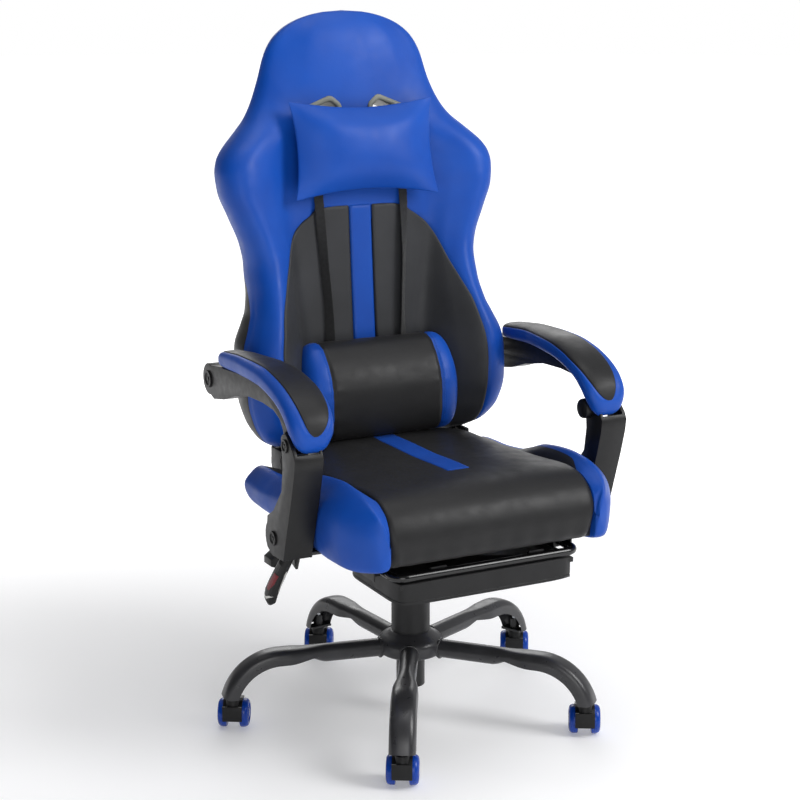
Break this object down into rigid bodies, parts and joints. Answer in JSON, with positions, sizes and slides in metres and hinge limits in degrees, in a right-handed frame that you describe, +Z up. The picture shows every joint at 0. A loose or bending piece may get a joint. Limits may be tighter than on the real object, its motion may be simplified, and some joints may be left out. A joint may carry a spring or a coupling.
{
  "type": "gaming chair",
  "caption": "High-back swivel chair with side bolsters, pillows on straps, padded armrests that follow the reclining back, a gas lift, a star base on casters and a pull-out footrest.",
  "frame": {"origin": "on the floor, under the middle of the gas column", "axes": "+Z up; the chair faces -Y; +X is the chair's own left-hand side"},
  "size_m": [0.673, 0.6663, 1.2057],
  "materials": {
    "blue_coated_fabric": "satin",
    "black_coated_fabric": "satin",
    "black_painted_steel": "satin",
    "gloss_black_steel": "gloss",
    "black_plastic": "matte",
    "blue_plastic": "gloss",
    "grey_plastic": "satin",
    "white_plastic": "satin",
    "bright_steel": "polished",
    "zinc_steel": "satin",
    "plywood": "matte",
    "black_elastic": "matte"
  },
  "bodies": {
    "base": {"hub": "black_painted_steel", "legs": "black_painted_steel", "caster_sockets": "black_painted_steel", "gas_cylinder": "black_painted_steel", "guide_bush": "white_plastic", "gas_rod": "bright_steel", "cover_lower": "black_plastic"},
    "cover_mid": {"cover_middle": "black_plastic"},
    "column": {"piston_tube": "bright_steel", "cover_upper": "black_plastic"},
    "seat": {"mechanism": "black_painted_steel", "mechanism_bolts": "zinc_steel", "seat_frame": "black_painted_steel", "seat_board": "plywood", "seat_cushion": "black_coated_fabric", "seat_bolster_left": "blue_coated_fabric", "seat_bolster_right": "blue_coated_fabric", "arm_brackets": "black_painted_steel", "pivot_pins": "zinc_steel", "recliner_plates": "black_painted_steel", "recliner_covers": "black_plastic", "footrest_guides": "black_plastic"},
    "height_lever": {"height_lever": "black_painted_steel", "height_paddle": "black_plastic"},
    "recline_lever": {"recline_lever": "black_painted_steel", "recline_grip": "black_plastic"},
    "back": {"back_frame": "black_painted_steel", "back_cushion": "blue_coated_fabric", "back_panel": "black_coated_fabric", "back_bolster_left": "blue_coated_fabric", "back_bolster_right": "blue_coated_fabric", "back_cover": "black_coated_fabric", "harness_bezels": "grey_plastic", "head_pillow": "blue_coated_fabric", "pillow_straps": "black_elastic", "lumbar_pillow": "black_coated_fabric"},
    "arm_left": {"arm_left": "black_plastic", "arm_pad_left": "black_coated_fabric"},
    "arm_right": {"arm_right": "black_plastic", "arm_pad_right": "black_coated_fabric"},
    "upright_left": {"upright_left": "black_plastic"},
    "upright_right": {"upright_right": "black_plastic"},
    "footrest_slide": {"footrest_frame": "gloss_black_steel"},
    "footrest_tray": {"footrest_board": "black_plastic", "footrest_pad": "black_coated_fabric"},
    "caster_1": {"caster_1_housing": "black_plastic", "caster_1_pins": "zinc_steel"},
    "caster_1_wheels": {"caster_1_wheels": "blue_plastic"},
    "caster_2": {"caster_2_housing": "black_plastic", "caster_2_pins": "zinc_steel"},
    "caster_2_wheels": {"caster_2_wheels": "blue_plastic"},
    "caster_3": {"caster_3_housing": "black_plastic", "caster_3_pins": "zinc_steel"},
    "caster_3_wheels": {"caster_3_wheels": "blue_plastic"},
    "caster_4": {"caster_4_housing": "black_plastic", "caster_4_pins": "zinc_steel"},
    "caster_4_wheels": {"caster_4_wheels": "blue_plastic"},
    "caster_5": {"caster_5_housing": "black_plastic", "caster_5_pins": "zinc_steel"},
    "caster_5_wheels": {"caster_5_wheels": "blue_plastic"}
  },
  "joints": [
    {"name": "lift", "type": "slide", "parent": "base", "child": "column", "axis": [0, 0, 1], "range_m": [0, 0.1]},
    {"name": "cover_slide", "type": "slide", "parent": "base", "child": "cover_mid", "axis": [0, 0, 1], "range_m": [0, 0.05]},
    {"name": "seat_swivel", "type": "hinge", "parent": "column", "child": "seat", "pos_m": [0, 0, 0.34], "axis": [0, 0, 1], "continuous": true},
    {"name": "recline", "type": "hinge", "parent": "seat", "child": "back", "pos_m": [0, 0.15, 0.44], "axis": [-1, 0, 0], "range_deg": [0, 40]},
    {"name": "height_lever_lift", "type": "hinge", "parent": "seat", "child": "height_lever", "pos_m": [-0.046, 0.06, 0.352], "axis": [0, 1, 0], "range_deg": [0, 7], "stiffness_Nm_per_rad": 6, "springref_deg": -2.86},
    {"name": "recline_lever_pull", "type": "hinge", "parent": "seat", "child": "recline_lever", "pos_m": [0, -0.062, 0.351], "axis": [1, 0, 0], "range_deg": [0, 22], "stiffness_Nm_per_rad": 2, "springref_deg": -11.46},
    {"name": "footrest_pull", "type": "slide", "parent": "seat", "child": "footrest_slide", "axis": [0, -1, 0], "range_m": [0, 0.215]},
    {"name": "footrest_flip", "type": "hinge", "parent": "footrest_slide", "child": "footrest_tray", "pos_m": [0, -0.27, 0.35], "axis": [-1, 0, 0], "range_deg": [0, 180]},
    {"name": "arm_left_hinge", "type": "hinge", "parent": "back", "child": "arm_left", "pos_m": [0.28, 0.176, 0.597], "axis": [1, 0, 0], "range_deg": [0, 31]},
    {"name": "upright_left_hinge", "type": "hinge", "parent": "seat", "child": "upright_left", "pos_m": [0.28, -0.112, 0.394], "axis": [-1, 0, 0], "range_deg": [0, 33]},
    {"name": "arm_right_hinge", "type": "hinge", "parent": "back", "child": "arm_right", "pos_m": [-0.28, 0.176, 0.597], "axis": [1, 0, 0], "range_deg": [0, 31]},
    {"name": "upright_right_hinge", "type": "hinge", "parent": "seat", "child": "upright_right", "pos_m": [-0.28, -0.112, 0.394], "axis": [-1, 0, 0], "range_deg": [0, 33]},
    {"name": "caster_1_swivel", "type": "hinge", "parent": "base", "child": "caster_1", "pos_m": [-0.159, -0.2754, 0.07], "axis": [0, 0, 1], "continuous": true},
    {"name": "caster_1_roll", "type": "hinge", "parent": "caster_1", "child": "caster_1_wheels", "pos_m": [-0.1515, -0.26241, 0.025], "axis": [0.866, -0.5, 0], "continuous": true},
    {"name": "caster_2_swivel", "type": "hinge", "parent": "base", "child": "caster_2", "pos_m": [0.21278, -0.23632, 0.07], "axis": [0, 0, 1], "continuous": true},
    {"name": "caster_2_roll", "type": "hinge", "parent": "caster_2", "child": "caster_2_wheels", "pos_m": [0.22028, -0.22333, 0.025], "axis": [0.866, -0.5, 0], "continuous": true},
    {"name": "caster_3_swivel", "type": "hinge", "parent": "base", "child": "caster_3", "pos_m": [0.29051, 0.12934, 0.07], "axis": [0, 0, 1], "continuous": true},
    {"name": "caster_3_roll", "type": "hinge", "parent": "caster_3", "child": "caster_3_wheels", "pos_m": [0.29801, 0.14233, 0.025], "axis": [0.866, -0.5, 0], "continuous": true},
    {"name": "caster_4_swivel", "type": "hinge", "parent": "base", "child": "caster_4", "pos_m": [-0.03324, 0.31626, 0.07], "axis": [0, 0, 1], "continuous": true},
    {"name": "caster_4_roll", "type": "hinge", "parent": "caster_4", "child": "caster_4_wheels", "pos_m": [-0.02574, 0.32925, 0.025], "axis": [0.866, -0.5, 0], "continuous": true},
    {"name": "caster_5_swivel", "type": "hinge", "parent": "base", "child": "caster_5", "pos_m": [-0.31105, 0.06612, 0.07], "axis": [0, 0, 1], "continuous": true},
    {"name": "caster_5_roll", "type": "hinge", "parent": "caster_5", "child": "caster_5_wheels", "pos_m": [-0.30355, 0.07911, 0.025], "axis": [0.866, -0.5, 0], "continuous": true}
  ],
  "couplings": [
    {"joint": "cover_slide", "follows": "lift", "ratio": 0.5},
    {"joint": "footrest_flip", "follows": "footrest_pull", "rad_per_m": 14.611},
    {"joint": "arm_left_hinge", "follows": "recline", "ratio": 0.768},
    {"joint": "arm_right_hinge", "follows": "recline", "ratio": 0.768},
    {"joint": "upright_left_hinge", "follows": "recline", "ratio": 0.808},
    {"joint": "upright_right_hinge", "follows": "recline", "ratio": 0.808}
  ]
}
